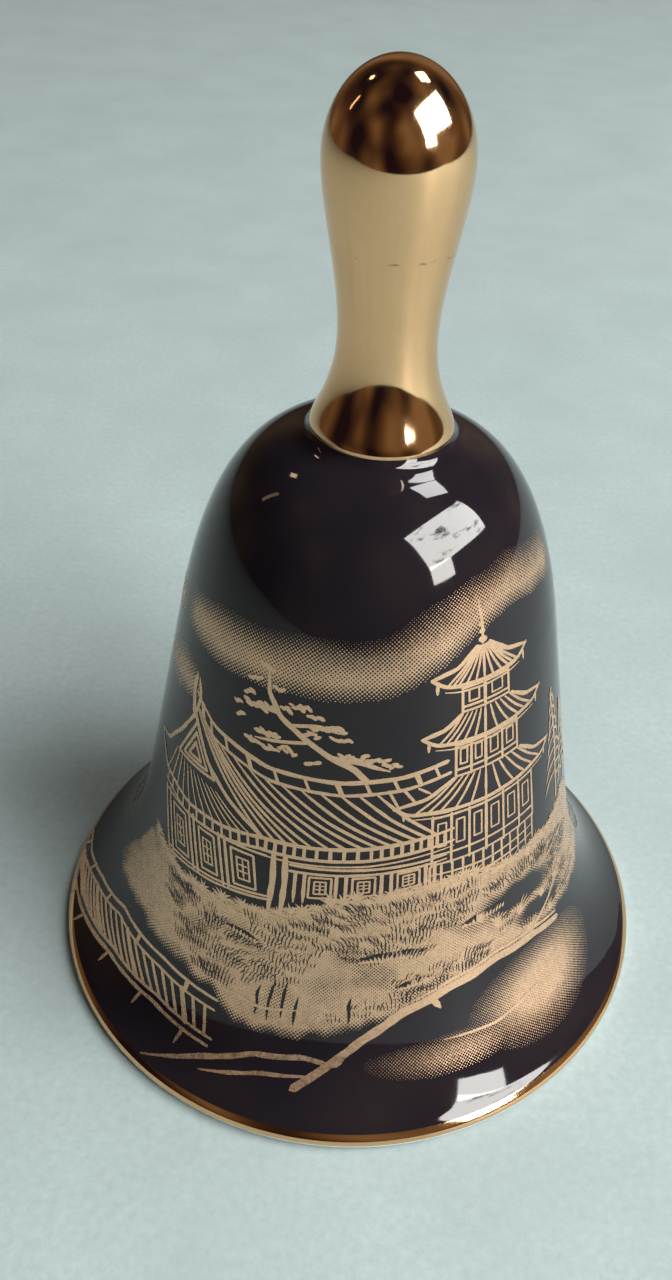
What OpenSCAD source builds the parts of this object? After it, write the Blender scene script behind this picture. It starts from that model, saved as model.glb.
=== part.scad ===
// Gilded porcelain hand bell. A slip-cast shell stands on its lip and carries a hollow
// handle, luted to its crown. Inside, a wire loop set in a plaster plug holds a short
// chain and a ball clapper.
// +Z is up, and the origin is at the centre of the lip's foot.

/* [Shell] */
// Radius of the mouth, at the widest point of the lip
mouth_r = 31.5; // [27:0.5:38]
// Height of the shell, from its foot to the seat of the handle
shell_h = 60.4; // [52:0.2:73]
// Wall of the shell
wall = 2.6; // [2:0.1:3.2]
// Radius of the waist, where it meets the flare
waist_r = 21.4; // [19:0.2:25.8]
// Height where the waist meets the flare
waist_h = 21; // [17:0.5:25]
// Radius where the waist meets the crown
shoulder_r = 17.4; // [15.5:0.1:18.6]
// Height where the waist meets the crown
shoulder_h = 42; // [36:0.5:45]
// Radius of the lip's rounded edge
lip_r = 0.9; // [0.7:0.1:1.1]
// Slope of the flare where it leaves the lip
lip_angle = 38; // [25:1:50]
// Slope of the crown where it meets the cove under the handle
crown_angle = 20; // [12:1:30]
// Width of the cove that rises from the crown to the handle's seat
cove_w = 2.1; // [1.4:0.1:2.8]
// Height of the cove
cove_h = 1.4; // [1:0.1:2]
// Radius of the hole through the crown, under the handle
crown_hole_r = 4; // [3.4:0.1:4.4]

/* [Handle] */
// Radius of the handle's foot, and of its seat on the crown
foot_r = 6.1; // [5.6:0.1:7.4]
// Radius of the neck
neck_r = 4.05; // [3.6:0.05:4.8]
// Height of the neck above the handle's foot
neck_h = 7.8; // [7:0.1:9.6]
// Radius of the bulb
bulb_r = 5.7; // [5:0.1:6.8]
// Height of the bulb's widest point above the handle's foot
bulb_h = 21.3; // [18:0.1:25.8]
// Height of the dome above the bulb's widest point
dome_h = 7; // [5.5:0.1:8.4]
// Wall of the hollow handle
handle_wall = 1.8; // [1.4:0.1:2.2]
// Thickness of the slip that lutes the handle to the crown
luting_t = 0.3; // [0.2:0.05:0.5]

/* [Clapper] */
// Radius of the hanger's wire
hanger_wire_r = 0.5; // [0.4:0.05:0.6]
// Centreline radius of the hanger's loop
hanger_loop_r = 1.6; // [1.5:0.1:1.9]
// Depth of the hanger's lowest wire under the handle's seat
hanger_drop = 8.9; // [8.4:0.1:10.8]
// Depth of the plaster blob inside the crown
plug_depth = 2.4; // [1.6:0.1:2.8]
// Radius of the plaster blob
plug_r = 6.4; // [5.4:0.1:7.6]
// Radius of the chain's wire
link_wire_r = 0.45; // [0.38:0.01:0.54]
// Half of the width inside a link
link_inner_r = 0.95; // [0.85:0.05:1.15]
// Distance from one chain pivot to the next
link_pitch = 5; // [4.4:0.1:6]
// Radius of the clapper's ball
ball_r = 5.5; // [4.6:0.1:6.6]
// Distance from the clapper's pivot to the ball's centre
ball_drop = 19.5; // [16.5:0.5:23.4]
// Radius of the pin's head, under the ball
pin_head_r = 1.4; // [1.1:0.1:1.7]
// Thickness of the pin's head
pin_head_t = 0.8; // [0.6:0.1:1]

/* [Fits] */
// Gap between two wires that hang one in the other
link_gap = 0.08; // [0.05:0.01:0.1]
// Radial clearance of the pin in the ball
pin_gap = 0.05; // [0.03:0.01:0.08]

/* [Hidden] */
$fn = 96;
cut = 1;
curve_steps = 16;
lip_steps = 8;
wire_fn = 32;

// How much of its own span each end of a curve runs straight on before it bends
lip_pull = 0.7;
waist_pull = 0.38;
shoulder_pull = 0.75;
crown_pull = 0.37;
cove_reach = 0.9;
foot_reach = 1.35;
neck_low_reach = 4.3;
neck_reach = 4.75;
bulb_reach = 3.7;
// Angle from upright at which the handle's foot leaves its seat
foot_lean = 13;
// The plaster's depth under the seat, and its cover over the ends of the wire
plug_recess = 0.2;
wire_cover = 0.6;

// Places up the axis
handle_z = shell_h + luting_t;
pivot_1_z = shell_h - hanger_drop;
pivot_2_z = pivot_1_z - link_pitch;
pivot_3_z = pivot_2_z - link_pitch;
pivot_4_z = pivot_3_z - link_pitch;
ball_z = pivot_4_z - ball_drop;
ball_flat = sqrt(pow(ball_r, 2) - pow(pin_head_r, 2));
plug_top_z = shell_h - plug_recess;
leg_top_z = plug_top_z - wire_cover;

// A cubic Bezier curve through [radius, height] points, and its direction
function bez(p, t) =
    pow(1 - t, 3) * p[0] + 3 * t * pow(1 - t, 2) * p[1]
    + 3 * pow(t, 2) * (1 - t) * p[2] + pow(t, 3) * p[3];
function bez_way(p, t) =
    unit(pow(1 - t, 2) * (p[1] - p[0]) + 2 * t * (1 - t) * (p[2] - p[1])
    + pow(t, 2) * (p[3] - p[2]));
function unit(v) = v / norm(v);
// Points along the curve, moved in by a wall at right angles to it
function inset(p, by, steps = curve_steps) = [
    for (i = [0:steps]) let (t = i / steps, d = bez_way(p, t)) bez(p, t) + by * [-d[1], d[0]]
];
function skip_first(a) = [for (i = [1:len(a) - 1]) a[i]];

// The shell's outside, from the lip up to the handle's seat
waist_way = unit([shoulder_r - waist_r, shoulder_h - waist_h]);
lip_reach = (mouth_r - waist_r) * lip_pull;
flare_reach = waist_h * waist_pull;
crown_end = [foot_r + cove_w, shell_h - cove_h];
shoulder_reach = (crown_end[1] - shoulder_h) * shoulder_pull;
crown_reach = (shoulder_r - crown_end[0]) * crown_pull;
lip_centre = [mouth_r - lip_r, lip_r];
lip_top = lip_centre + lip_r * [sin(lip_angle), cos(lip_angle)];
flare = [
    lip_top,
    lip_top + lip_reach * [-cos(lip_angle), sin(lip_angle)],
    [waist_r, waist_h] - flare_reach * waist_way,
    [waist_r, waist_h]
];
crown = [
    [shoulder_r, shoulder_h],
    [shoulder_r, shoulder_h] + shoulder_reach * waist_way,
    crown_end + crown_reach * [cos(crown_angle), -sin(crown_angle)],
    crown_end
];
foot_way = [-sin(foot_lean), cos(foot_lean)];
cove = [
    crown_end,
    crown_end + cove_reach * [-cos(crown_angle), sin(crown_angle)],
    [foot_r, shell_h] - cove_reach * foot_way,
    [foot_r, shell_h]
];
function shell_side(by) = concat(inset(flare, by), inset(crown, by));
ceiling = inset(crown, wall)[curve_steps];
lip = [
    for (i = [0:lip_steps - 1]) let (a = -90 + (180 - lip_angle) * i / lip_steps)
        lip_centre + lip_r * [cos(a), sin(a)]
];

// The handle's outside, from its foot up to the bulb
stem = [
    [foot_r, handle_z],
    [foot_r, handle_z] + foot_reach * foot_way,
    [neck_r, handle_z + neck_h - neck_low_reach],
    [neck_r, handle_z + neck_h]
];
bulb = [
    [neck_r, handle_z + neck_h],
    [neck_r, handle_z + neck_h + neck_reach],
    [bulb_r, handle_z + bulb_h - bulb_reach],
    [bulb_r, handle_z + bulb_h]
];
function dome(by) = [
    for (i = [1:curve_steps]) let (a = 90 * i / curve_steps)
        [(bulb_r - by) * cos(a), handle_z + bulb_h + (dome_h - by) * sin(a)]
];
function handle_side(by) =
    concat(inset(stem, by), skip_first(inset(bulb, by)), dome(by));

// The space inside the shell, open below
module cavity_2d() {
    side = shell_side(wall);
    polygon(concat([[0, side[0][1] - cut], side[0] - [0, cut]], side, [[0, ceiling[1]]]));
}

module bell_body() {
    color([0.09, 0.08, 0.09]) rotate_extrude() difference() {
        polygon(concat([[0, 0]], lip, shell_side(0), skip_first(inset(cove, 0)), [[0, shell_h]]));
        cavity_2d();
        square([crown_hole_r, shell_h + cut]);
    }
}

module handle() {
    color([0.72, 0.52, 0.22]) rotate_extrude() difference() {
        polygon(concat([[0, handle_z]], handle_side(0)));
        hollow = handle_side(handle_wall);
        polygon(concat([[0, hollow[0][1]]], hollow));
    }
}

module luting_ring() {
    color([0.72, 0.52, 0.22]) translate([0, 0, shell_h]) difference() {
        cylinder(h = luting_t, r = foot_r);
        translate([0, 0, -cut]) cylinder(h = luting_t + 2 * cut, r = crown_hole_r);
    }
}

module hanger_legs() {
    for (side = [-1, 1])
        translate([side * hanger_loop_r, 0, pivot_1_z + hanger_loop_r])
            cylinder(h = leg_top_z - pivot_1_z - hanger_loop_r, r = hanger_wire_r, $fn = wire_fn);
}

module crown_plug() {
    color([0.88, 0.86, 0.80]) difference() {
        rotate_extrude() union() {
            intersection() {
                cavity_2d();
                translate([0, ceiling[1]]) scale([plug_r, plug_depth]) circle(r = 1);
            }
            translate([0, ceiling[1]]) square([crown_hole_r, plug_top_z - ceiling[1]]);
        }
        hanger_legs();
    }
}

// Half of a ring of wire, open upwards, centred on the origin and standing in XZ
module half_ring(ring_r, wire_r) {
    rotate([-90, 0, 0]) rotate_extrude(angle = 180)
        translate([ring_r, 0]) circle(r = wire_r, $fn = wire_fn);
}

module hanger_loop() {
    color([0.70, 0.55, 0.28]) union() {
        translate([0, 0, pivot_1_z + hanger_loop_r]) half_ring(hanger_loop_r, hanger_wire_r);
        hanger_legs();
    }
}

// An oval link in XZ. It hangs on a wire at its upper pivot and holds one at its lower
module link(upper_z, upper_wire_r, lower_z) {
    ring_r = link_inner_r + link_wire_r;
    top_z = upper_z + upper_wire_r + link_gap - link_inner_r;
    low_z = lower_z + ring_r;
    color([0.74, 0.58, 0.30]) union() {
        translate([0, 0, low_z]) half_ring(ring_r, link_wire_r);
        translate([0, 0, top_z]) mirror([0, 0, 1]) half_ring(ring_r, link_wire_r);
        for (side = [-1, 1]) translate([side * ring_r, 0, low_z])
            cylinder(h = top_z - low_z, r = link_wire_r, $fn = wire_fn);
    }
}

module chain_link_1() {
    rotate([0, 0, 90]) link(pivot_1_z, hanger_wire_r, pivot_2_z);
}

module chain_link_2() {
    link(pivot_2_z, link_wire_r, pivot_3_z);
}

module chain_link_3() {
    rotate([0, 0, 90]) link(pivot_3_z, link_wire_r, pivot_4_z);
}

module clapper_pin() {
    ring_r = link_inner_r + link_wire_r;
    eye_z = pivot_4_z + link_wire_r + link_gap - link_inner_r;
    head_z = ball_z - ball_flat - pin_head_t;
    color([0.74, 0.58, 0.30]) union() {
        translate([0, 0, eye_z]) rotate([90, 0, 0]) rotate_extrude()
            translate([ring_r, 0]) circle(r = link_wire_r, $fn = wire_fn);
        translate([0, 0, head_z])
            cylinder(h = eye_z - ring_r - head_z, r = link_wire_r, $fn = wire_fn);
        translate([0, 0, head_z]) cylinder(h = pin_head_t, r = pin_head_r);
    }
}

module clapper_ball() {
    color([0.93, 0.91, 0.86]) translate([0, 0, ball_z]) difference() {
        intersection() {
            sphere(r = ball_r);
            cube([2 * ball_r, 2 * ball_r, 2 * ball_flat], center = true);
        }
        cylinder(h = 2 * ball_r, r = link_wire_r + pin_gap, center = true, $fn = wire_fn);
    }
}

bell_body();
handle();
luting_ring();
crown_plug();
hanger_loop();
chain_link_1();
chain_link_2();
chain_link_3();
clapper_pin();
clapper_ball();
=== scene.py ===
"""Looks for the gilded porcelain bell: smooth glazed shell and handle, a gilt landscape
printed round the shell, the wire chain and clapper, and a plain studio around them."""

import math

import bpy
import numpy as np
from mathutils import Matrix, Vector, noise


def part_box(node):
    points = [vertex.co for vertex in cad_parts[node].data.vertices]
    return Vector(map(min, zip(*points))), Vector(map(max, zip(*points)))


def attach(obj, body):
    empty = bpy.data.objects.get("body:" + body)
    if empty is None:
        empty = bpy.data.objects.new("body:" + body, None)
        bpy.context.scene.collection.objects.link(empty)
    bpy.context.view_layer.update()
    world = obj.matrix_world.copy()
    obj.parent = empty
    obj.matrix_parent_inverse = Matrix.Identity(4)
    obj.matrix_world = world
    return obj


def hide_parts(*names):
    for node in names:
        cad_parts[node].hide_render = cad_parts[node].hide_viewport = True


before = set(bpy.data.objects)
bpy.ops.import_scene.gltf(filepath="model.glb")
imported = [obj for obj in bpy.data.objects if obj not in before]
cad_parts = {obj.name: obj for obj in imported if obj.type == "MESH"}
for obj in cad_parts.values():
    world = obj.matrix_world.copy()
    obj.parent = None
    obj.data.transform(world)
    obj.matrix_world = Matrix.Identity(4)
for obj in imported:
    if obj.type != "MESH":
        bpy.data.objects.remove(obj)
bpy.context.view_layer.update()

MM = 0.001
SEGMENTS = 288  # round each turned piece
CLOSE = 0.02  # mm, points nearer than this are one
FLAT = 0.0015  # mm, a point this near the straight line is on it


# --- Profiles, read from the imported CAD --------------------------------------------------


def side_points(node, facing):
    """[radius, height] in mm, foot to top, of a turned node's faces that look out (1) or in (-1)."""
    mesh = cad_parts[node].data
    points = set()
    for face in mesh.polygons:
        radius = math.hypot(face.center.x, face.center.y)
        outward = (face.normal.x * face.center.x + face.normal.y * face.center.y) / radius
        if facing * outward > 0.03:
            for index in face.vertices:
                x, y, z = mesh.vertices[index].co
                points.add((round(math.hypot(x, y) / MM, 3), round(z / MM, 3)))
    return np.array(sorted(points, key=lambda p: p[1]))


def cleaned(points):
    """The outline without near-duplicates, or points on the straight line between their neighbours."""
    kept = [points[0]]
    for point in points[1:]:
        if np.linalg.norm(point - kept[-1]) > CLOSE:
            kept.append(point)
    out = [kept[0]]
    for point, after in zip(kept[1:], kept[2:]):
        chord, step = after - out[-1], point - out[-1]
        if abs(chord[0] * step[1] - chord[1] * step[0]) / np.linalg.norm(chord) > FLAT:
            out.append(point)
    return np.array(out + [kept[-1]])


def subdivided(points, longest):
    """The same outline with no piece of it longer than longest."""
    out = [points[0]]
    for a, b in zip(points, points[1:]):
        pieces = max(1, math.ceil(np.linalg.norm(b - a) / longest))
        out += [a + (b - a) * (i + 1) / pieces for i in range(pieces)]
    return np.array(out)


def smoothed(points, step, longest=2.0, fine=None):
    """A cubic curve through the outline's points, with a point about every step mm.
    fine is the length and the step of a finer start."""
    p = subdivided(np.asarray(points, float), longest)
    along = np.concatenate([[0], np.cumsum(np.linalg.norm(np.diff(p, axis=0), axis=1))])
    slope = np.gradient(p, along, axis=0)
    start = fine[0] if fine else 0.0
    want = np.linspace(start, along[-1], max(2, round((along[-1] - start) / step)) + 1)
    if fine:
        want = np.concatenate([np.arange(0, start - fine[1] / 2, fine[1]), want])
    i = np.clip(np.searchsorted(along, want, side="right") - 1, 0, len(p) - 2)
    h = (along[i + 1] - along[i])[:, None]
    t = (want - along[i])[:, None] / h
    return (
        (2 * t**3 - 3 * t**2 + 1) * p[i]
        + (t**3 - 2 * t**2 + t) * h * slope[i]
        + (3 * t**2 - 2 * t**3) * p[i + 1]
        + (t**3 - t**2) * h * slope[i + 1]
    )


# --- Camera ------------------------------------------------------------------------------

camera_spot = Vector((0, -0.08945, 0.10957))
turn, tilt, roll = 0.046, 0.679, 0.093
ahead = Vector((math.sin(turn) * math.cos(tilt), math.cos(turn) * math.cos(tilt), -math.sin(tilt)))
level = Vector((math.cos(turn), -math.sin(turn), 0))
above = level.cross(ahead)
right = level * math.cos(roll) + above * math.sin(roll)
up = above * math.cos(roll) - level * math.sin(roll)

camera_data = bpy.data.cameras.new("camera")
camera_data.sensor_width = 36
camera_data.lens = 33.75
camera_data.shift_x = -0.0587
camera_data.clip_start = 0.005
camera = bpy.data.objects.new("camera", camera_data)
camera.matrix_world = Matrix(
    [[right[i], up[i], -ahead[i], camera_spot[i]] for i in range(3)] + [[0, 0, 0, 1]]
)
bpy.context.scene.collection.objects.link(camera)
bpy.context.scene.camera = camera
bpy.context.scene.view_settings.view_transform = "Standard"

# --- Materials ---------------------------------------------------------------------------


class Nodes:
    """A material's node tree, built with short calls."""

    def __init__(self, name):
        self.material = bpy.data.materials.new(name)
        self.material.use_nodes = True
        self.tree = self.material.node_tree
        self.shader = self.tree.nodes["Principled BSDF"]

    def add(self, kind, **inputs):
        """A node whose properties or input sockets are set by name."""
        node = self.tree.nodes.new(kind)
        for key, value in inputs.items():
            if hasattr(node, key):
                setattr(node, key, value)
            else:
                self.set(node.inputs[key.replace("_", " ")], value)
        return node

    def set(self, socket, value):
        if isinstance(value, bpy.types.NodeSocket):
            self.tree.links.new(value, socket)
        else:
            socket.default_value = value

    def into(self, **sockets):
        for key, value in sockets.items():
            self.set(self.shader.inputs[key.replace("_", " ")], value)

    def place(self):
        """Where on the piece, in mm."""
        if not hasattr(self, "_place"):
            spot = self.add("ShaderNodeTexCoord").outputs["Object"]
            scale = self.tree.nodes.new("ShaderNodeVectorMath")
            scale.operation = "SCALE"
            self.tree.links.new(spot, scale.inputs[0])
            scale.inputs["Scale"].default_value = 1 / MM
            self._place = scale.outputs["Vector"]
        return self._place

    def noise(self, scale, detail=2.0, rough=0.5):
        """Noise from 0 to 1 with about scale features a mm."""
        node = self.add("ShaderNodeTexNoise", Scale=scale, Detail=detail, Roughness=rough)
        self.tree.links.new(self.place(), node.inputs["Vector"])
        return node.outputs["Fac"]

    def ramp(self, factor, low, high, a=0.0, b=1.0):
        """a below low, b above high."""
        node = self.add("ShaderNodeMapRange")
        ends = (("From Min", low), ("From Max", high), ("To Min", a), ("To Max", b))
        for key, value in (("Value", factor), *ends):
            self.set(node.inputs[key], value)
        return node.outputs["Result"]

    def math(self, operation, a, b=0.0):
        node = self.tree.nodes.new("ShaderNodeMath")
        node.operation = operation
        self.set(node.inputs[0], a)
        self.set(node.inputs[1], b)
        return node.outputs[0]

    def mix(self, factor, a, b):
        node = self.tree.nodes.new("ShaderNodeMix")
        node.data_type = "RGBA"
        self.set(node.inputs[0], factor)
        self.set(node.inputs[6], a)
        self.set(node.inputs[7], b)
        return node.outputs[2]

    def bump(self, height, distance, strength=1.0):
        node = self.add("ShaderNodeBump", Strength=strength, Distance=distance * MM, Height=height)
        self.set(self.shader.inputs["Normal"], node.outputs["Normal"])


def black_glaze():
    m = Nodes("black glaze")
    cloud = m.noise(0.12, 3)
    m.into(
        Base_Color=m.mix(cloud, (0.004, 0.003, 0.005, 1), (0.009, 0.007, 0.008, 1)),
        Roughness=m.ramp(m.noise(0.6, 4), 0.3, 0.8, 0.03, 0.07),
        Specular_IOR_Level=0.36,
        Specular_Tint=(1.0, 0.94, 0.88, 1),
    )
    m.bump(m.noise(0.22, 1), 0.02)
    return m.material


def gold_lustre(name, wear_z=None):
    """Bright gold. wear_z is the height of a hairline where a ring of it has rubbed thin."""
    m = Nodes(name)
    tone = m.mix(m.noise(0.25, 3), (0.74, 0.45, 0.23, 1), (0.82, 0.51, 0.27, 1))
    rough = m.ramp(m.noise(0.9, 4), 0.3, 0.8, 0.05, 0.11)
    if wear_z:
        height = m.add("ShaderNodeSeparateXYZ", Vector=m.place()).outputs["Z"]
        drift = m.ramp(m.noise(0.3, 3), 0.0, 1.0, -0.9, 0.9)
        off = m.math("ABSOLUTE", m.math("SUBTRACT", m.math("ADD", height, drift), wear_z))
        line = m.math("MULTIPLY", m.ramp(off, 0.02, 0.12, 0.7, 0), m.ramp(m.noise(1.1, 5), 0.5, 0.6))
        tone = m.mix(line, tone, (0.22, 0.13, 0.08, 1))
        rough = m.math("ADD", rough, m.math("MULTIPLY", line, 0.3))
    m.into(Base_Color=tone, Metallic=1.0, Roughness=rough)
    m.bump(m.noise(0.2, 1), 0.015)
    return m.material


def gold_ink():
    m = Nodes("gold ink")
    worn = m.noise(1.6, 5, 0.65)
    m.into(
        Base_Color=m.mix(worn, (0.56, 0.345, 0.20, 1), (0.80, 0.525, 0.34, 1)),
        Metallic=m.ramp(worn, 0.25, 0.7, 0.75, 1.0),
        Roughness=m.ramp(m.noise(3.0, 3), 0.3, 0.8, 0.23, 0.34),
    )
    m.bump(m.noise(4.0, 2), 0.01)
    return m.material


def white_porcelain():
    m = Nodes("white porcelain")
    m.into(
        Base_Color=m.mix(m.noise(0.3, 3), (0.80, 0.77, 0.70, 1), (0.87, 0.85, 0.80, 1)),
        Roughness=m.ramp(m.noise(1.2, 4), 0.3, 0.8, 0.08, 0.2),
        Coat_Weight=0.3,
    )
    m.bump(m.noise(0.5, 2), 0.02)
    return m.material


def plaster():
    m = Nodes("plaster")
    grain = m.noise(2.5, 6, 0.7)
    m.into(
        Base_Color=m.mix(grain, (0.62, 0.58, 0.50, 1), (0.82, 0.79, 0.72, 1)),
        Roughness=0.85,
        Specular_IOR_Level=0.25,
    )
    m.bump(grain, 0.12)
    return m.material


def brass_wire():
    m = Nodes("brass wire")
    tarnish = m.noise(0.9, 4, 0.6)
    m.into(
        Base_Color=m.mix(m.ramp(tarnish, 0.4, 0.7), (0.83, 0.62, 0.28, 1), (0.42, 0.27, 0.12, 1)),
        Metallic=1.0,
        Roughness=m.ramp(tarnish, 0.35, 0.75, 0.18, 0.42),
    )
    m.bump(m.noise(5.0, 2), 0.01)
    return m.material


glaze, ink_gold = black_glaze(), gold_ink()
HANDLE_WEAR = 76.0  # mm, height of the worn hairline round the handle
gold, handle_gold = gold_lustre("gold lustre"), gold_lustre("handle gold", HANDLE_WEAR)
white, matt, brass = white_porcelain(), plaster(), brass_wire()

# --- Turned pieces -----------------------------------------------------------------------


def mesh_piece(name, vertices, faces, materials, body):
    mesh = bpy.data.meshes.new(name)
    mesh.from_pydata(vertices, [], faces)
    for material in materials:
        mesh.materials.append(material)
    mesh.validate()
    piece = bpy.data.objects.new(name, mesh)
    bpy.context.scene.collection.objects.link(piece)
    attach(piece, body)
    return piece


def turned(name, outline, body, materials, slots=None, closed=False):
    """A solid of revolution from [radius, height] points in mm. slots gives each stretch its material."""
    rings = len(outline)
    angles = np.linspace(0, 2 * math.pi, SEGMENTS, endpoint=False)
    vertices, starts = [], []
    for radius, height in outline:
        starts.append(len(vertices))
        if radius < 1e-4:
            vertices.append((0, 0, height * MM))
        else:
            vertices += [(radius * MM * math.cos(a), radius * MM * math.sin(a), height * MM) for a in angles]
    faces, kinds = [], []
    for i in range(rings if closed else rings - 1):
        a, b = starts[i], starts[(i + 1) % rings]
        a_tip, b_tip = outline[i][0] < 1e-4, outline[(i + 1) % rings][0] < 1e-4
        for k in range(SEGMENTS):
            n = (k + 1) % SEGMENTS
            if a_tip:
                faces.append((a, b + n, b + k))
            elif b_tip:
                faces.append((a + k, a + n, b))
            else:
                faces.append((a + k, a + n, b + n, b + k))
            kinds.append(slots[i] if slots else 0)
    piece = mesh_piece(name, vertices, faces, materials, body)
    piece.data.polygons.foreach_set("material_index", kinds)
    piece.data.shade_smooth()
    piece.data.set_sharp_from_angle(angle=math.radians(35))
    return piece


shell_side = smoothed(cleaned(side_points("bell_body", 1)), 0.45, fine=(4.0, 0.16))
inside = side_points("bell_body", -1)
hole_r = inside[:, 0].min()
inside = smoothed(cleaned(inside[inside[:, 0] > hole_r + 0.2]), 0.6)
seat_z = shell_side[-1][1]
ceiling_z = inside[-1][1]
outline = np.vstack([[[hole_r, seat_z]], shell_side[::-1], inside, [[hole_r, ceiling_z]]])

GOLD_EDGE = 1.8  # height of the gold line's upper edge on the lip
GOLD_FOOT = 0.75  # height of its lower edge


def shell_slots():
    slots = []
    for i in range(len(outline)):
        height = (outline[i][1] + outline[(i + 1) % len(outline)][1]) / 2
        outer = 0 < i < len(shell_side)
        if outer and GOLD_FOOT < height < GOLD_EDGE:
            slots.append(1)
        elif i <= len(shell_side) and height > GOLD_EDGE:
            slots.append(0)
        else:
            slots.append(2)
    return slots


shell = turned("glazed_shell", outline, "bell", [glaze, gold, white], shell_slots(), closed=True)
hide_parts("bell_body")

handle_side = cleaned(side_points("handle", 1))
top_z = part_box("handle")[1].z / MM
handle_side = handle_side[handle_side[:, 1] < top_z - 0.01]
far_side = handle_side[::-1][:3] * [-1, 1]
handle_side = smoothed(np.vstack([handle_side, [[0, top_z]], far_side]), 0.2, 1.0)
handle_side = np.vstack([handle_side[handle_side[:, 0] > 0.1], [[0, top_z]]])
foot_z = handle_side[0][1]
handle = turned("gilt_handle", np.vstack([[[0, foot_z]], handle_side]), "bell", [handle_gold])
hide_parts("handle")

finishes = {"luting_ring": gold, "crown_plug": matt, "clapper_ball": white}
for name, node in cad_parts.items():
    if name not in ("bell_body", "handle"):
        node.data.materials.clear()
        node.data.materials.append(finishes.get(name, brass))

# --- Gilding -----------------------------------------------------------------------------
# The print is drawn in [angle, height] points: degrees round the shell from its front, to
# the right, and mm above the foot. Widths and lengths are in mm.

along = np.concatenate([[0], np.cumsum(np.linalg.norm(np.diff(shell_side, axis=0), axis=1))])
rise = np.gradient(shell_side, along, axis=0)
INK_LIFT = 0.02  # mm, the print's height over the glaze
INK_STEP = 0.0004  # mm, each stroke lies this much over the one before
INK_STEPS = 50  # strokes before the steps start again


def climb(height):
    """How far up the shell's outline a height is."""
    return np.interp(height, shell_side[:, 1], along)


def radius_at(climbed):
    return np.interp(climbed, along, shell_side[:, 0])


def moved(point, right, up):
    """A point moved over the shell, in mm."""
    climbed = climb(point[1])
    angle = point[0] + math.degrees(right / radius_at(climbed))
    return (angle, float(np.interp(climbed + up, along, shell_side[:, 1])))


def part_way(path, t):
    """The point a fraction t of the way along a path."""
    path = np.asarray(path, float)
    at = np.linspace(0, 1, len(path))
    return (float(np.interp(t, at, path[:, 0])), float(np.interp(t, at, path[:, 1])))


def wander(*where):
    """Smooth noise, from -1 to 1."""
    return noise.noise(Vector((*where, 0.5, 0.5)[:3]))


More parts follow.
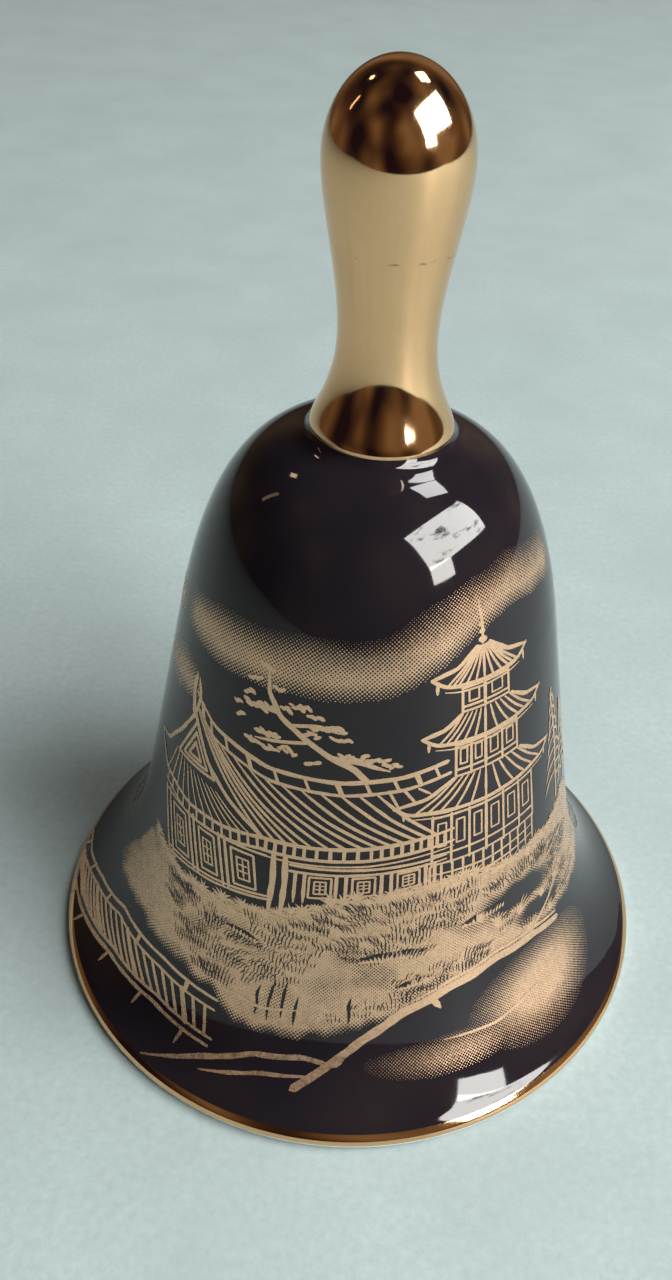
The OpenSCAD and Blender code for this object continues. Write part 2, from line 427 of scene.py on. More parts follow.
class Ink:
    """Brush strokes, blobs and halftone dots that lie on the shell and make one thin piece."""

    def __init__(self, lift=INK_LIFT):
        self.lift, self.strokes = lift, 0
        self.spots, self.faces = [], []

    def add(self, flat, faces):
        """flat holds [angle in radians, distance up the outline] for each vertex."""
        lift = self.lift + self.strokes % INK_STEPS * INK_STEP
        start = len(self.spots)
        self.spots += [(angle, climbed, lift) for angle, climbed in flat]
        self.faces += [tuple(start + i for i in face) for face in faces]

    def stroke(self, points, width=0.3, taper=(0.5, 0.5)):
        """A line through the points. taper is the width at each end, as a part of the whole."""
        points = np.asarray(points, float)
        climbed = climb(points[:, 1])
        middle_r = radius_at(climbed.mean())
        path = np.stack([np.radians(points[:, 0]) * middle_r, climbed], axis=1)
        path = smoothed(path, 0.5)
        stretch = radius_at(path[:, 1]) / middle_r
        way = np.gradient(path, axis=0) * np.stack([stretch, np.ones(len(path))], axis=1)
        way /= np.linalg.norm(way, axis=1)[:, None]
        t = np.linspace(0, 1, len(path))
        full = np.interp(t, [0, 0.25, 0.75, 1], [taper[0], 1, 1, taper[1]])
        hand = [1 + 0.22 * wander(x * 0.9, y * 0.9) for x, y in path]
        half = 0.5 * width * full * hand
        side = np.stack([-way[:, 1], way[:, 0]], axis=1) * half[:, None]
        squeeze = np.stack([1 / stretch, np.ones(len(path))], axis=1)
        left, right = path + side * squeeze, path - side * squeeze
        tips = [path[0] - way[0] * half[0], path[-1] + way[-1] * half[-1]]
        flat = np.vstack([left, right, tips])
        flat[:, 0] /= middle_r
        n = len(path)
        faces = [(n + i, n + i + 1, i + 1, i) for i in range(n - 1)]
        faces += [(2 * n, n, 0), (2 * n + 1, n - 1, 2 * n - 1)]
        self.strokes += 1
        self.add(flat, faces)

    def blob(self, centre, width, height, tilt=0.0):
        """A rough oval."""
        climbed = climb(centre[1])
        radius = radius_at(climbed)
        c, s = math.cos(math.radians(tilt)), math.sin(math.radians(tilt))
        flat = [(math.radians(centre[0]), climbed)]
        for i in range(14):
            turn = 2 * math.pi * i / 14
            rough = 0.5 + 0.13 * wander(centre[0] + 2 * math.cos(turn), centre[1] + 2 * math.sin(turn))
            x, y = width * rough * math.cos(turn), height * rough * math.sin(turn)
            flat.append((math.radians(centre[0]) + (x * c - y * s) / radius, climbed + x * s + y * c))
        self.strokes += 1
        self.add(flat, [(0, i + 1, (i + 1) % 14 + 1) for i in range(14)])

    def halftone(self, cover, angles, heights, pitch):
        """Staggered square dots. cover(angle, height) is how much of the surface is gold."""
        turn = pitch / radius_at(climb(sum(heights) / 2))
        climbed, top, row = climb(heights[0]), climb(heights[1]), 0
        while climbed < top:
            radius = radius_at(climbed)
            cell = turn * radius
            height = float(np.interp(climbed, along, shell_side[:, 1]))
            for k in range(int(math.radians(angles[0]) / turn), int(math.radians(angles[1]) / turn)):
                angle = (k + row % 2 / 2) * turn
                share = cover(math.degrees(angle), height)
                if share > 0.03:
                    outline = dot(min(share, 1.0), cell)
                    flat = [(angle + x / radius, climbed + y) for x, y in outline]
                    self.add(flat, [tuple(range(len(outline)))])
            climbed += cell / 2
            row += 1

    def piece(self, name, material, slot):
        angle, climbed, lift = np.array(self.spots).T
        out_r = np.interp(climbed, along, rise[:, 1])
        out_z = -np.interp(climbed, along, rise[:, 0])
        radius = (radius_at(climbed) + lift * out_r) * MM
        height = (np.interp(climbed, along, shell_side[:, 1]) + lift * out_z) * MM
        vertices = np.stack([radius * np.sin(angle), -radius * np.cos(angle), height], axis=1)
        normals = np.stack([out_r * np.sin(angle), -out_r * np.cos(angle), out_z], axis=1)
        piece = mesh_piece(name, vertices.tolist(), self.faces, [material], "bell")
        piece.data.shade_smooth()
        piece.data.normals_split_custom_set_from_vertices(normals.tolist())
        return piece


def dot(share, cell):
    """The corners of a square dot in a staggered cell. Past a half its corners are cut, so dots meet."""
    if share <= 0.5:
        h = cell * math.sqrt(share / 8)
        return [(-h, -h), (h, -h), (h, h), (-h, h)]
    h = cell / 2 * (1 - math.sqrt((1 - share) / 2))
    e = cell / 2 - h
    if e < cell * 0.01:
        h = cell / 2
        return [(0, -h), (h, 0), (0, h), (-h, 0)]
    return [(h, -e), (h, e), (e, h), (-e, h), (-h, e), (-h, -e), (-e, -h), (e, -h)]


def patch(low_left, low_right, high_right, high_left):
    """A four-cornered face of a building: (across, up) from 0 to 1 gives a point."""

    def at(u, v):
        low = [a + (b - a) * u for a, b in zip(low_left, low_right)]
        high = [a + (b - a) * u for a, b in zip(high_left, high_right)]
        return tuple(a + (b - a) * v for a, b in zip(low, high))

    return at


def frame_lines(ink, at, u0, u1, v0, v1, width):
    """A rectangle's four sides."""
    for a, b in (((u0, v0), (u1, v0)), ((u1, v0), (u1, v1)), ((u1, v1), (u0, v1)), ((u0, v1), (u0, v0))):
        ink.stroke([at(*a), at(*b)], width, (1, 1))


def lattice(ink, at, u0, u1, v0, v1, width):
    """A window: two frames, one in the other, and a barred middle."""
    frame_lines(ink, at, u0, u1, v0, v1, width)
    du, dv = (u1 - u0) * 0.24, (v1 - v0) * 0.2
    frame_lines(ink, at, u0 + du, u1 - du, v0 + dv, v1 - dv, width * 0.8)
    um = (u0 + u1) / 2
    ink.stroke([at(um, v0 + dv), at(um, v1 - dv)], width * 0.8)
    for k in (0.42, 0.6):
        v = v0 + (v1 - v0) * k
        ink.stroke([at(u0 + du, v), at(u1 - du, v)], width * 0.7)


def ribs(ink, top, low, count, width, sag=0.0, spread=(0.05, 0.95)):
    """The rows of tiles between a roof's upper and lower edge."""
    for i in range(count):
        t = spread[0] + (spread[1] - spread[0]) * i / (count - 1)
        a, b = part_way(top, t), part_way(low, t)
        middle = ((a[0] + b[0]) / 2, (a[1] + b[1]) / 2 - sag)
        ink.stroke([a, middle, b], width, (0.6, 0.9))


def tiered_roof(ink, left, right, tip_z, top_left, top_right, top_z, corner):
    """A pagoda's curved roof. Its eaves turn up at both tips, and it has a front corner."""
    drop = 1.0
    eave = [
        (left, tip_z),
        (left + 4, tip_z - drop * 0.75),
        ((left + corner) / 2, tip_z - drop),
        (corner, tip_z - drop * 1.1),
        ((corner + right) / 2, tip_z - drop),
        (right - 4, tip_z - drop * 0.75),
        (right, tip_z + 0.1),
    ]
    top = [(top_left, top_z), (corner, top_z - 0.1), (top_right, top_z)]
    ink.stroke(eave, 0.42, (0.8, 0.8))
    for tip, shoulder in ((left, top_left), (right, top_right)):
        side = [
            (shoulder, top_z),
            (shoulder + (tip - shoulder) * 0.45, top_z + (tip_z - top_z) * 0.68),
            (tip, tip_z),
        ]
        ink.stroke(side, 0.4, (0.8, 0.7))
        near_tip = tip + (corner - tip) * 0.1
        ink.stroke([(near_tip, tip_z - 0.4), (near_tip, tip_z - 1.3)], 0.34)
    ribs(ink, top, eave[1:-1], 11, 0.24, 0.15, (0.04, 0.96))
    ink.stroke([moved(p, 0, -0.55) for p in eave[1:-1]], 0.2)
    ink.stroke([(corner, top_z), (corner, tip_z - 1.2)], 0.3)


def storey(ink, left, right, low_z, high_z, corner, bays):
    """The two walls of a pagoda's floor that show, with a rail, posts and windows."""
    for a, b in ((left, corner), (corner, right)):
        at = patch((a, low_z), (b, low_z), (b, high_z), (a, high_z))
        for v in (0.03, 0.22, 0.97):
            ink.stroke([at(0, v), at(1, v)], 0.24, (1, 1))
        for i in range(bays + 1):
            ink.stroke([at(i / bays, 0), at(i / bays, 1)], 0.26, (1, 1))
        for i in range(bays):
            frame_lines(ink, at, (i + 0.28) / bays, (i + 0.72) / bays, 0.38, 0.84, 0.18)
    ink.stroke([(corner, low_z), (corner, high_z)], 0.34, (1, 1))


def pagoda(ink):
    corner = 36
    ink.stroke([(36, 48.0), (36.4, 49.6), (35.8, 51.6)], 0.26, (1, 0.3))
    for height, size in ((48.3, 0.9), (49.0, 0.62), (49.6, 0.5)):
        ink.blob((36.2, height), size, size * 0.7)
    tiered_roof(ink, 19, 54, 45.8, 34, 38.5, 47.9, corner)
    storey(ink, 28.5, 45, 42.2, 44.6, corner, 1)
    tiered_roof(ink, 16.5, 60, 40.4, 28, 46, 42.1, corner)
    storey(ink, 26.5, 48, 35.9, 39.2, corner, 2)
    tiered_roof(ink, 9.5, 64, 33.7, 26, 49, 35.9, corner)
    storey(ink, 20, 54, 26.9, 32.3, corner, 3)
    for height in (25.7, 24.7):
        ink.stroke([(19, height + 0.3), (36, height), (54, height + 0.3)], 0.24)
    for i in range(12):
        angle = 19.5 + 3.1 * i
        ink.stroke([(angle, 26.9), (angle, 24.2)], 0.26, (1, 0.5))


def hall(ink):
    ridge = [(-54, 38.6), (-44, 37.0), (-25, 36.0), (-5, 36.2), (12, 36.9), (24, 37.8)]
    under = [moved(p, 0.3, -1.25) for p in ridge]
    ink.stroke(ridge, 0.44, (0.6, 1))
    ink.stroke(under, 0.34, (0.6, 1))
    for i in range(11):
        a, b = part_way(ridge, 0.07 + 0.087 * i), part_way(under, 0.078 + 0.087 * i)
        ink.stroke([a, b], 0.3 if i % 3 else 0.5, (1, 1))
    ink.stroke([(-54, 36.4), (-55.5, 38.6), (-55, 40.4)], 0.6, (0.9, 0.3))
    ink.stroke([(-54, 40.2), (-52, 38.4), (-53, 36.6)], 0.42, (0.3, 0.9))
    eave = [(-24, 28.6), (-12, 29.0), (4, 29.6), (16, 30.2), (26, 30.6)]
    ribs(ink, under[:-1], eave, 14, 0.32, 0.2, (0.0, 0.88))
    for angle, low in ((8, 33.2), (12, 34.0), (16, 34.8)):
        ink.stroke([(angle, 35.6), (angle + 3.6, low)], 0.26, (1, 0.2))
    ink.stroke(eave, 0.42, (1, 0.7))
    lower = [moved(p, 0, -1.3) for p in eave]
    ink.stroke(lower, 0.36, (1, 0.7))
    ink.stroke([moved(p, 0, -0.6) for p in lower], 0.2, (1, 0.6))
    for i in range(18):
        t = 0.02 + 0.054 * i
        ink.stroke([part_way(eave, t), part_way(lower, t)], 0.34, (1, 1))
    gable(ink)
    walls(ink)


def gable(ink):
    """The hall's end, from its ridge down to the near corner of the eaves."""
    apex = (-53, 36.4)
    for k in (1.0, 0.66, 0.34):
        middle = (-50.5, 32.6)
        corners = [(-51.5, 35.8), (-58.5, 31.0), (-41.5, 31.6)]
        corners = [(middle[0] + (x - middle[0]) * k, middle[1] + (y - middle[1]) * k) for x, y in corners]
        for a, b in zip(corners, corners[1:] + corners[:1]):
            ink.stroke([a, b], 0.32, (1, 1))
    ink.stroke([apex, (-45, 33.0), (-36, 30.8), (-24, 28.6)], 0.46, (1, 0.9))
    ink.stroke([apex, (-59, 33.2), (-66, 30.4), (-72, 29.8)], 0.42, (1, 0.5))
    tip = [(-72, 29.6), (-64, 27.6), (-50, 27.0), (-36, 27.6), (-24, 28.6)]
    ink.stroke(tip, 0.4, (0.7, 1))
    ribs(ink, [(-60, 31.0), (-50, 30.7), (-38, 30.6)], tip[1:], 12, 0.2, 0.1, (0.02, 0.9))
    lower = [moved(p, 0.2, -1.2) for p in tip[1:]]
    ink.stroke(lower, 0.34, (0.7, 1))
    for i in range(13):
        t = 0.04 + 0.076 * i
        ink.stroke([part_way(tip[1:], t), part_way(lower, t)], 0.3, (1, 1))


def walls(ink):
    """The hall's end wall and its front, with posts and windows."""
    end = patch((-55, 19.6), (-20.5, 22.0), (-22.5, 27.0), (-62, 25.8))
    for v in (0.02, 0.09, 0.97):
        ink.stroke([end(0, v), end(0.5, v - 0.02), end(1, v)], 0.26, (1, 1))
    for u in (0.0, 0.06, 0.32, 0.37, 0.62, 0.67):
        ink.stroke([end(u, 0.02), end(u, 1)], 0.34, (1, 1))
    for u0, u1 in ((0.11, 0.27), (0.42, 0.57), (0.72, 0.9)):
        lattice(ink, end, u0, u1, 0.16, 0.86, 0.26)
    for angle in (-20.6, -17.4):
        ink.stroke([(angle, 27.6), (angle + 0.4, 24.6), (angle, 21.0)], 0.62, (0.7, 0.5))
    front = patch((-16, 22.6), (24, 25.2), (24, 28.4), (-16, 27.4))
    for v in (0.86, 0.72):
        ink.stroke([front(0, v), front(1, v)], 0.3, (1, 0.6))
    for u in (0.04, 0.1, 0.3, 0.36, 0.58, 0.64, 0.86, 0.92):
        ink.stroke([front(u, 0.72), front(u, 0.0)], 0.36, (1, 0.4))
    for u0 in (0.13, 0.4, 0.68):
        lattice(ink, front, u0, u0 + 0.14, 0.14, 0.64, 0.22)


def old_pine(ink):
    """The tree behind the hall's roof."""
    trunk = [(2, 36.6), (-2, 37.8), (-8, 38.6), (-16, 40.0), (-23, 41.4), (-27, 43.2), (-28, 45.2)]
    ink.stroke(trunk, 0.55, (1, 0.4))
    ink.stroke([(-8, 38.6), (0, 38.4), (8, 37.6)], 0.45, (1, 0.4))
    ink.stroke([(-20, 40.8), (-12, 41.4), (-6, 41.0)], 0.32, (1, 0.4))
    ink.stroke([(-24, 41.6), (-32, 41.6)], 0.36, (1, 0.4))
    ink.stroke([(-14, 39.6), (-24, 38.8), (-30, 38.4)], 0.32, (1, 0.4))
    for angle, height, width in (
        (-28.5, 45.4, 1.1), (-24.5, 43.8, 1.0), (-32, 43.9, 1.1), (-33.5, 42.4, 0.9), (-31, 41.5, 2.2),
        (-27.5, 41.9, 1.6), (-37, 41.0, 0.7), (-35.5, 39.9, 0.6), (-17.5, 42.8, 1.9), (-21.5, 42.1, 0.9),
        (-13, 42.2, 1.3), (-11.5, 41.2, 1.8), (-7, 41.3, 1.5), (-5.5, 40.4, 1.8), (-14, 40.4, 1.6),
        (-28, 39.4, 0.9), (-24.5, 39.3, 1.1), (-30.5, 38.0, 1.5), (-25.5, 37.9, 2.0), (-20, 38.3, 1.7),
        (-12.5, 37.9, 1.1), (-2, 38.9, 2.4), (4.5, 38.7, 2.1), (8.5, 38.1, 1.5),
    ):
        dabs = max(1, round(width * 3.4))
        for i in range(dabs):
            across = width * ((i + 0.5) / dabs - 0.5)
            centre = moved((angle, height), across, 0.5 * wander(angle + i * 1.7, height))
            size = 0.72 + 0.3 * wander(height, angle + i)
            ink.blob(centre, size, size * 0.52, 70 * wander(angle + i, height * 0.7))


def slim_tree(ink, angle, foot, tall):
    """A tree drawn with short falling strokes."""
    ink.stroke([(angle, foot), (angle + 1, foot + tall * 0.5), (angle - 0.5, foot + tall)], 0.4, (1, 0.3))
    for i in range(16):
        base = part_way([(angle, foot + tall * 0.2), (angle, foot + tall)], i / 15)
        side = -1 if i % 2 else 1
        reach = 2.4 * (1.15 - i / 15)
        bend, tip = moved(base, side * reach * 0.6, -0.3), moved(base, side * reach, -1.5)
        ink.stroke([base, bend, tip], 0.34, (0.8, 0.2))


def bridge(ink):
    upper = [(-99, 1.9), (-92, 2.8), (-80, 5.4), (-65, 8.2), (-46, 9.2), (-29, 9.2)]
    lower = [(-86, 1.8), (-78, 2.5), (-61, 4.5), (-44, 5.4), (-28, 5.2)]
    under = [moved(p, 0, -1.1) for p in upper]
    over = [moved(p, 0.2, 0.8) for p in lower]
    for path, width in ((upper, 0.36), (under, 0.3), (over, 0.34), (lower, 0.4)):
        ink.stroke(path, width, (0.6, 0.8))
    for i in range(24):
        t = 0.05 + 0.04 * i
        ink.stroke([part_way(under, t), part_way(over, t)], 0.62 if i % 6 == 3 else 0.36, (1, 1))
    for i in range(5):
        t = 0.1 + 0.2 * i
        ink.stroke([part_way(upper, t), part_way(under, t)], 0.5, (1, 1))
        post = part_way(lower, t)
        ink.stroke([post, moved(post, -0.3, -1.7)], 0.4, (1, 0.3))


def tuft(ink, root, size, lean=0.0, blades=9, width=0.3):
    """Grass blades that fan out from a root."""
    for i in range(blades):
        way = math.radians(lean + (i / (blades - 1) - 0.5) * 120)
        reach = size * (0.8 + 0.3 * wander(root[0] + i, root[1]))
        middle = moved(root, reach * 0.55 * math.sin(way) * 0.8, reach * 0.6 * math.cos(way))
        tip = moved(root, reach * math.sin(way) * 1.1, reach * math.cos(way) * 0.95)
        ink.stroke([root, middle, tip], width, (0.9, 0.15))


def hairs(ink, root, lean, size, count, width):
    """Short strokes side by side, as a brush leaves them."""
    for i in range(count):
        start = moved(root, 0.34 * (i - count / 2), 0.25 * wander(root[0] + i, root[1] * 2))
        way = math.radians(lean + 9 * (i - count / 2))
        reach = size * (0.75 + 0.4 * wander(root[1] + i * 0.7, root[0]))
        bend = moved(start, 0.5 * reach * math.sin(way * 0.6), 0.5 * reach * math.cos(way * 0.6))
        tip = moved(start, reach * math.sin(way), reach * math.cos(way))
        ink.stroke([start, bend, tip], width, (0.7, 0.1))


def hollow(ink, dark, angle, height, wide, tall, slope):
    """A dark gap in the bushes, with gold blades that grow up into it."""
    ends = [moved((angle, height), side * wide / 2, side * slope * wide / 2) for side in (-1, 1)]
    crown = moved((angle, height), 0.1 * wide, 0.25 * tall)
    dark.stroke([ends[0], crown, ends[1]], tall, (0.15, 0.1))
    count = int(wide / 0.36)
    for i in range(count):
        x = (i + 0.5) / count - 0.5
        root = moved((angle, height), x * wide, x * slope * wide - tall * 0.6)
        way = math.radians(55 * x + 30 * wander(angle + i * 0.9, height))
        reach = tall * (0.95 - 1.2 * abs(x) + 0.45 * wander(i * 0.8, angle))
        if reach > 0.15:
            ink.stroke([root, moved(root, reach * math.sin(way), reach * math.cos(way))], 0.25, (1, 0.15))


def banks(ink):
    """Water lines, the shore and the long bough in front."""
    ink.stroke([(-40, 2.0), (-29, 4.2), (-18, 6.2), (-8, 6.9), (-1, 6.6), (1, 7.6)], 0.55, (0.3, 0.6))
    ink.stroke([(-28, 3.4), (-16, 4.9), (-6, 5.5)], 0.4, (0.3, 0.4))
    bough = [(-9, 4.4), (-3, 6.4), (4, 8.8), (13, 11.2), (25, 12.7), (38, 13.5), (50, 13.0), (61, 11.8)]
    ink.stroke(bough, 0.9, (0.9, 0.7))
    ink.stroke([moved(p, 0, 0.75) for p in bough[3:]], 0.4, (0.3, 0.6))
    ink.stroke([(20, 12.1), (22, 10.9)], 0.7, (1, 0.3))
    ink.stroke([(50, 13.4), (60, 15.0), (70, 17.8)], 0.36, (1, 0.3))
    for y, a, b in ((10.4, -28, -10), (12.6, 18, 32), (7.4, 22, 48)):
        ink.stroke([(a, y + 0.4), ((a + b) / 2, y), (b, y + 0.7)], 0.3, (0.2, 0.2))


def grass(ink, dark):
    """Gold blades along the top of the bushes, and the dark gaps and brush marks in them."""
    for i in range(44):
        angle = -62 + 3.15 * i
        height = float(np.interp(angle, BUSH_ANGLES, BUSH_TOP)) - 0.9 + 0.7 * wander(angle, 3.0)
        tuft(ink, (angle, height), 1.5 + 0.5 * wander(angle, 6.0), 8 * wander(angle, 8.0), 6, 0.25)
    for gap in HOLLOWS:
        hollow(ink, dark, *gap)
    for angle, low, high in STEMS:
        sway = 0.5 * wander(angle, low)
        third = (high - low) / 3
        dark.stroke(
            [(angle, low), (angle + sway, low + third), (angle - sway, high - third), (angle + 0.4, high)],
            0.3, (0.3, 0.2),
        )
    for i in range(TUFTS):
        angle = -52 + 128 * ((0.5 + SPREAD[0] * i) % 1)
        foot = float(np.interp(angle, BUSH_ANGLES, BUSH_FOOT)) + 1.0
        top = float(np.interp(angle, BUSH_ANGLES, BUSH_TOP)) - 1.6
        height = foot + (top - foot) * ((0.5 + SPREAD[1] * i) % 1)
        if wander(angle * 0.07, height * 0.3 + 3) > (-0.25 if angle < -38 else 0.2):
            continue
        if dark_gap(angle, height) > 0.3:
            continue
        lean = 75 * wander(angle * 0.06, height * 0.2) + 20 * wander(angle, height)
        size = 1.1 + 0.6 * wander(height, angle)
        hairs(dark if i % 5 else ink, (angle, height), lean, size, 3 + i % 4, 0.11)
    for root, size, lean in (
        ((39, 16.8), 1.9, 18), ((47, 16.5), 2.2, 12), ((56, 16.0), 2.0, 24), ((64, 15.7), 1.7, 28),
        ((33, 18.8), 1.5, 60), ((50, 13.7), 1.6, 8), ((59, 13.3), 1.6, 26),
    ):
        tuft(ink, root, size, lean, 8, 0.2)


TUFTS = 640  # of short brush marks
SPREAD = (0.7549, 0.5698)  # steps round and up that spread the marks evenly
STEMS = [  # angle, foot, top
    (-20, 9.6, 12.6),
    (-17, 9.4, 14.2),
    (-14, 10.0, 13.6),
    (-11, 9.6, 12.4),
    (1, 10.4, 13.0),
]
HOLLOWS = [  # angle, height, width, thickness, slope
    (35, 19.2, 5.0, 0.7, 0.05),
    (66, 20.4, 4.0, 0.7, 0.1),
    (11, 17.4, 6.5, 0.8, 0.06),
    (16, 14.2, 3.6, 0.6, 0.2),
    (-27, 17.2, 3.4, 0.5, -0.05),
]
BUSH_ANGLES = [-84, -76, -64, -48, -30, -24, -13, -3, 12, 27, 40, 60, 76, 86, 98]
BUSH_TOP = [9.0, 13.0, 20.2, 19.4, 20.2, 21.0, 22.2, 24.2, 25.0, 25.4, 24.6, 23.6, 25.0, 22.4, 15.5]
BUSH_FOOT = [8.5, 9.0, 9.9, 10.1, 9.6, 7.9, 7.9, 9.0, 10.6, 12.4, 13.4, 12.6, 11.6, 11.4, 12.2]


def smooth_step(x):
    x = min(max(x, 0.0), 1.0)
    return x * x * (3 - 2 * x)


def bushes(angle, height):
    """Dense gold under the buildings, a little thinner in drifts, with a ragged foot."""
    ragged = 0.5 * wander(angle * 0.3, height * 0.5)
    top = float(np.interp(angle, BUSH_ANGLES, BUSH_TOP)) + 0.6 * wander(angle * 0.6, 2.0)
    foot = float(np.interp(angle, BUSH_ANGLES, BUSH_FOOT)) + ragged
    body = smooth_step((height - foot) / 1.2) * smooth_step((top - height) / 0.6)
    drift = 0.5 + 0.5 * wander(angle * 0.09 + 4, height * 0.4)
    hollow = smooth_step((drift - 0.24) / 0.2)
    sides = smooth_step((angle + 84) / 12) * smooth_step((97 + 9 * wander(height * 0.3, 11.0) - angle) / 16)
    grain = 0.1 * wander(angle * 0.8, height * 1.7)
    return body * sides * (0.60 + 0.30 * hollow + grain) * (1 - dark_gap(angle, height))


def dark_gap(angle, height):
    """The two dark gaps under the pagoda, from 0 to 1."""
    most = 0.0
    for middle, level, wide, tall, slope in DARK_GAPS:
        line = level + slope * (angle - middle) + 0.6 * wander(angle * 0.22, level)
        most = max(most, math.exp(-(((angle - middle) / wide) ** 2) - ((height - line) / tall) ** 2))
    return smooth_step(1.9 * most - 0.4)


DARK_GAPS = [  # angle, height, width, thickness, slope
    (48, 18.9, 15, 2.0, -0.05),
    (56, 15.2, 12, 1.3, -0.05),
]


def mist(angle, height):
    """Soft gold banks over the water on the right."""
    near = math.exp(-(((angle - 50) / 15) ** 2) - ((height - 8.0) / 3.0) ** 2)
    far = math.exp(-(((angle - 25) / 17) ** 2) - ((height - 6.5) / 1.4) ** 2)
    return min(0.9, 1.45 * max(near, 0.5 * far) - 0.14)


def cloud(angle, height, edge, fade):
    """A long cloud, crisp along its lower edge and thinner upwards. edge and fade hold
    [angle, height] points."""
    start, stop = edge[0][0], edge[-1][0]
    if not start < angle < stop:
        return 0.0
    low = np.interp(angle, *np.transpose(edge)) + 0.25 * wander(angle * 0.12, start)
    high = np.interp(angle, *np.transpose(fade)) + 0.5 * wander(angle * 0.08, stop)
    up = (height - low) / (high - low)
    if not 0 < up < 1:
        return 0.0
    ends = smooth_step((angle - start) / 9) * smooth_step((stop - angle) / 9)
    soft = 0.82 + 0.18 * wander(angle * 0.06, height * 0.5)
    return 0.86 * soft * ends * min(1.0, up * 3.2 + 0.12) * (1 - smooth_step((up - 0.35) / 0.65))


def sky(angle, height):
    """All the clouds round the bell."""
    return max(cloud(angle + turn, height, *shape) for shape in CLOUDS for turn in (0, 360))


CLOUDS = [
    (
        [
            (-70, 43.4), (-48, 42.9), (-30, 43.4), (-10, 43.8), (4, 44.2),
            (15, 45.4), (24, 47.0), (34, 48.8), (48, 49.8), (84, 48.8),
        ],
        [
            (-70, 47.4), (-40, 49.0), (-20, 49.6), (-4, 49.8), (9, 51.0),
            (22, 52.8), (36, 54.0), (52, 54.4), (84, 53.2),
        ],
    ),
    ([(-82, 37.0), (-66, 36.4), (-50, 38.2)], [(-82, 40.0), (-66, 41.6), (-50, 40.6)]),
    (
        [(98, 44.6), (122, 42.8), (146, 43.4), (170, 45.2), (196, 46.8), (222, 47.2), (256, 46.0)],
        [(98, 48.6), (122, 48.4), (146, 48.8), (170, 50.8), (196, 52.6), (222, 52.4), (256, 50.2)],
    ),
    ([(196, 38.8), (222, 37.8), (252, 39.4)], [(196, 41.8), (222, 42.2), (252, 42.2)]),
    ([(258, 42.6), (274, 41.6), (290, 43.0)], [(258, 45.0), (274, 45.8), (290, 45.4)]),
]


def far_hills(angle, height):
    """Two ranges of hills across the back."""
    turn = angle % 360
    inside = smooth_step((turn - 96) / 14) * smooth_step((262 - turn) / 14)
    if inside == 0:
        return 0.0
    best = 0.0
    for base, tall, stretch, start in ((24.0, 9.0, 0.05, 1.0), (19.0, 6.0, 0.08, 7.0)):
        crest = base + tall * (0.55 + 0.45 * wander(turn * stretch, start))
        depth = crest - height
        if depth > 0:
            best = max(best, 0.8 * min(1.0, depth * 3 + 0.15) * (1 - smooth_step(depth / 5.0)))
    return best * inside


def far_shore(ink):
    """Across the back: a boat, a small pavilion, reeds and birds."""
    hull = [(150, 11.8), (156, 10.6), (166, 10.3), (176, 10.7), (182, 12.2)]
    ink.stroke(hull, 0.9, (0.3, 0.3))
    ink.stroke([(153, 11.9), (166, 11.6), (179, 12.0)], 0.3)
    ink.stroke([(167, 11.0), (167, 20.6)], 0.42, (1, 0.5))
    for i in range(6):
        height = 13.4 + 1.25 * i
        ink.stroke([(167.6, height), (173, height + 0.5), (178.5 - 0.7 * i, height - 0.3)], 0.28)
    ink.stroke([(167, 20.4), (174, 17.8), (179.5, 13.0)], 0.3)
    for y, a, b in ((9.0, 140, 158), (8.0, 150, 190), (10.0, 186, 204), (7.0, 168, 214), (12.6, 112, 134)):
        ink.stroke([(a, y), ((a + b) / 2, y - 0.25), (b, y + 0.1)], 0.3, (0.1, 0.1))
    tiered_roof(ink, 212, 250, 26.4, 226, 236, 29.6, 231)
    storey(ink, 219, 243, 19.6, 25.2, 231, 2)
    for height in (18.6, 17.6):
        ink.stroke([(214, height), (231, height - 0.3), (248, height)], 0.3)
    for i in range(9):
        ink.stroke([(216 + 3.75 * i, 19.2), (216 + 3.75 * i, 16.6)], 0.34, (1, 0.5))
    slim_tree(ink, 205, 18.5, 10.5)
    slim_tree(ink, 120, 17.5, 12.0)
    slim_tree(ink, 111, 17.0, 9.5)
    for i in range(26):
        angle = 98 + 6.3 * i
        root = (angle, 9.6 + 2.2 * wander(angle * 0.1, 9.0) + (3.0 if 140 < angle < 200 else 4.2))
        if not 146 < angle < 190:
            tuft(ink, root, 2.2, 12 * wander(angle, 1.0), 8, 0.28)
    for angle, height in ((186, 35.4), (191, 36.6), (181, 37.0), (196, 35.0)):
        left = [(angle - 3, height + 0.7), (angle - 1, height + 0.8), (angle, height)]
        right = [(angle, height), (angle + 1.4, height + 0.9), (angle + 3.2, height + 0.6)]
        ink.stroke(left, 0.24, (0.3, 1))
        ink.stroke(right, 0.24, (1, 0.3))


def back_ground(angle, height):
    """The near bank across the back, left dark where the water is."""
    turn = angle % 360
    inside = smooth_step((turn - 88) / 10) * smooth_step((272 - turn) / 10)
    lake = smooth_step((turn - 138) / 12) * smooth_step((206 - turn) / 12)
    top = 15.6 + 1.2 * wander(turn * 0.1, 4.0)
    foot = 9.0 + 1.6 * wander(turn * 0.12, 6.0)
    body = smooth_step((height - foot) / 2.0) * smooth_step((top - height) / 1.4)
    return body * inside * (1 - 0.95 * lake) * (0.55 + 0.4 * wander(turn * 0.3, height * 0.6))


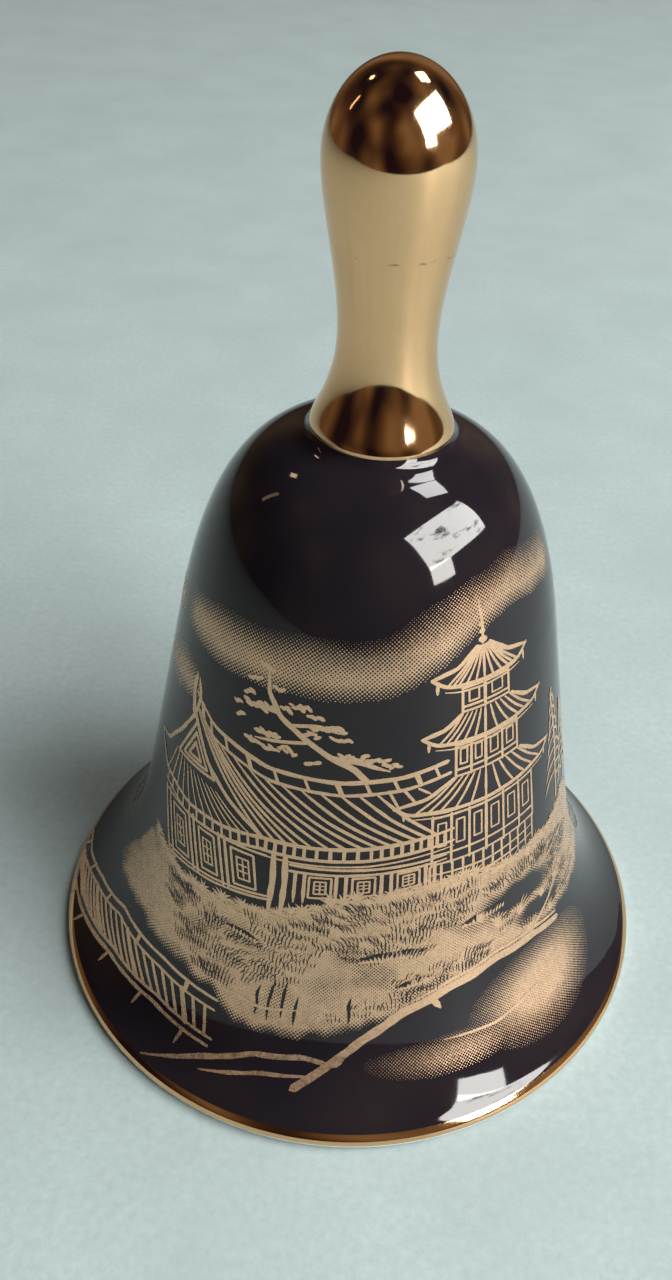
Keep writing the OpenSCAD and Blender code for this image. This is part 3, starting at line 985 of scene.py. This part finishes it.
def gild_shell():
    tones = Ink(INK_LIFT * 0.5)
    tones.halftone(sky, (-90, 272), (36, 55.5), 0.38)
    tones.piece("gilt_clouds", ink_gold, "gold_lustre")
    ground = Ink(INK_LIFT * 0.5)
    ground.halftone(bushes, (-88, 104), (6, 27), 0.36)
    ground.halftone(mist, (0, 88), (2.6, 12.4), 0.34)
    ground.piece("gilt_bushes", ink_gold, "gold_lustre")
    back = Ink(INK_LIFT * 0.5)
    back.halftone(far_hills, (94, 264), (16, 34), 0.44)
    back.halftone(back_ground, (86, 274), (6, 18), 0.44)
    back.piece("gilt_hills", ink_gold, "gold_lustre")
    for name, draw in (
        ("gilt_pagoda", pagoda), ("gilt_hall", hall), ("gilt_pine", old_pine), ("gilt_bridge", bridge),
        ("gilt_banks", banks), ("gilt_far_shore", far_shore),
    ):
        ink = Ink(INK_LIFT * 1.5)
        draw(ink)
        ink.piece(name, ink_gold, "gold_lustre")
    ink, dark = Ink(INK_LIFT * 1.5), Ink(INK_LIFT)
    grass(ink, dark)
    slim_tree(ink, 69, 25.0, 13.0)
    slim_tree(ink, 78, 24.5, 10.5)
    ink.piece("gilt_grass", ink_gold, "gold_lustre")
    dark.piece("dark_grass", glaze, "black_glaze")


gild_shell()

# --- Studio ------------------------------------------------------------------------------


def table_top():
    m = Nodes("table")
    speckle = m.noise(1.1, 5, 0.7)
    drift = m.noise(0.05, 6, 0.6)
    mottle = m.math("MULTIPLY", drift, m.ramp(speckle, 0.3, 0.7, 0.4, 1.5))
    m.into(
        Base_Color=m.mix(mottle, (0.178, 0.212, 0.205, 1), (0.242, 0.284, 0.276, 1)),
        Roughness=m.ramp(speckle, 0.3, 0.7, 0.45, 0.6),
        Specular_IOR_Level=0.15,
    )
    m.bump(speckle, 0.05)
    return m.material


def floor():
    size = 1.2
    mesh = bpy.data.meshes.new("table")
    mesh.from_pydata([(-size, -0.5, 0), (size, -0.5, 0), (size, 2, 0), (-size, 2, 0)], [], [(0, 1, 2, 3)])
    mesh.materials.append(table_top())
    piece = bpy.data.objects.new("table", mesh)
    bpy.context.scene.collection.objects.link(piece)


def through_trees(light):
    """Leafy shadows across a light, as through a window."""
    light.use_nodes = True
    tree = light.node_tree
    where = tree.nodes.new("ShaderNodeNewGeometry").outputs["Parametric"]
    leaves = tree.nodes.new("ShaderNodeTexNoise")
    leaves.inputs["Scale"].default_value = 2.6
    leaves.inputs["Detail"].default_value = 5.0
    leaves.inputs["Roughness"].default_value = 0.65
    tree.links.new(where, leaves.inputs["Vector"])
    gaps = tree.nodes.new("ShaderNodeMapRange")
    for key, value in (("From Min", 0.37), ("From Max", 0.45), ("To Min", 0.1), ("To Max", 1.0)):
        gaps.inputs[key].default_value = value
    tree.links.new(leaves.outputs["Fac"], gaps.inputs["Value"])
    tree.links.new(gaps.outputs["Result"], tree.nodes["Emission"].inputs["Strength"])


def soft_box(name, bearing, height, away, width, tall, power, colour, seen=True, trees=False):
    """A soft box that faces the bell. bearing is in degrees clockwise from +Y, height above the horizon."""
    light = bpy.data.lights.new(name, "AREA")
    light.shape = "RECTANGLE"
    light.size = width
    light.size_y = tall
    light.energy = power
    light.color = colour
    if trees:
        through_trees(light)
    lamp = bpy.data.objects.new(name, light)
    b, h = math.radians(bearing), math.radians(height)
    way = Vector((math.sin(b) * math.cos(h), math.cos(b) * math.cos(h), math.sin(h)))
    lamp.location = Vector((0, 0, 0.05)) + way * away
    lamp.rotation_euler = way.to_track_quat("Z", "Y").to_euler()
    lamp.visible_camera = False
    lamp.visible_glossy = seen
    bpy.context.scene.collection.objects.link(lamp)
    return lamp


def room():
    """Soft light for matt surfaces, and a dim warm room for the gloss to mirror."""
    world = bpy.data.worlds.new("room")
    world.use_nodes = True
    bpy.context.scene.world = world
    tree = world.node_tree
    background = tree.nodes["Background"]
    path = tree.nodes.new("ShaderNodeLightPath")
    spot = tree.nodes.new("ShaderNodeTexCoord")
    blotch = tree.nodes.new("ShaderNodeTexNoise")
    blotch.inputs["Scale"].default_value = 1.3
    blotch.inputs["Detail"].default_value = 1.0
    tree.links.new(spot.outputs["Generated"], blotch.inputs["Vector"])
    walls = tree.nodes.new("ShaderNodeValToRGB")
    tones = walls.color_ramp.elements
    tones[0].position, tones[0].color = 0.34, (0.014, 0.008, 0.016, 1)
    tones[1].position, tones[1].color = 0.68, (0.24, 0.165, 0.10, 1)
    for at, colour in ((0.45, (0.055, 0.032, 0.022, 1)), (0.56, (0.125, 0.08, 0.045, 1))):
        tones.new(at).color = colour
    tree.links.new(blotch.outputs["Fac"], walls.inputs["Fac"])
    out = walls.outputs["Color"]
    for ray, colour in (("Is Diffuse Ray", (0.13, 0.10, 0.082, 1)), ("Is Camera Ray", (0.52, 0.60, 0.58, 1))):
        mix = tree.nodes.new("ShaderNodeMix")
        mix.data_type = "RGBA"
        tree.links.new(path.outputs[ray], mix.inputs[0])
        tree.links.new(out, mix.inputs[6])
        mix.inputs[7].default_value = colour
        out = mix.outputs[2]
    tree.links.new(out, background.inputs["Color"])


floor()
soft_box("window", 113, 41, 1.4, 1.3, 0.78, 76, (0.94, 0.98, 1.0), trees=True)
soft_box("low_window", 131, 20.6, 1.4, 0.38, 0.24, 6.9, (0.94, 0.98, 1.0))
soft_box("daylight", 112, 42, 1.3, 1.0, 0.8, 3.0, (1.0, 0.98, 0.95), seen=False)
soft_box("skylight", 47, 62, 1.1, 0.26, 0.22, 3.4, (0.92, 0.96, 1.0))
soft_box("left_lamp", -54, 47, 1.3, 0.09, 0.09, 0.3, (1.0, 0.72, 0.42))
soft_box("low_lamp", -77, 30, 1.3, 0.05, 0.3, 0.12, (1.0, 0.70, 0.42))
room()
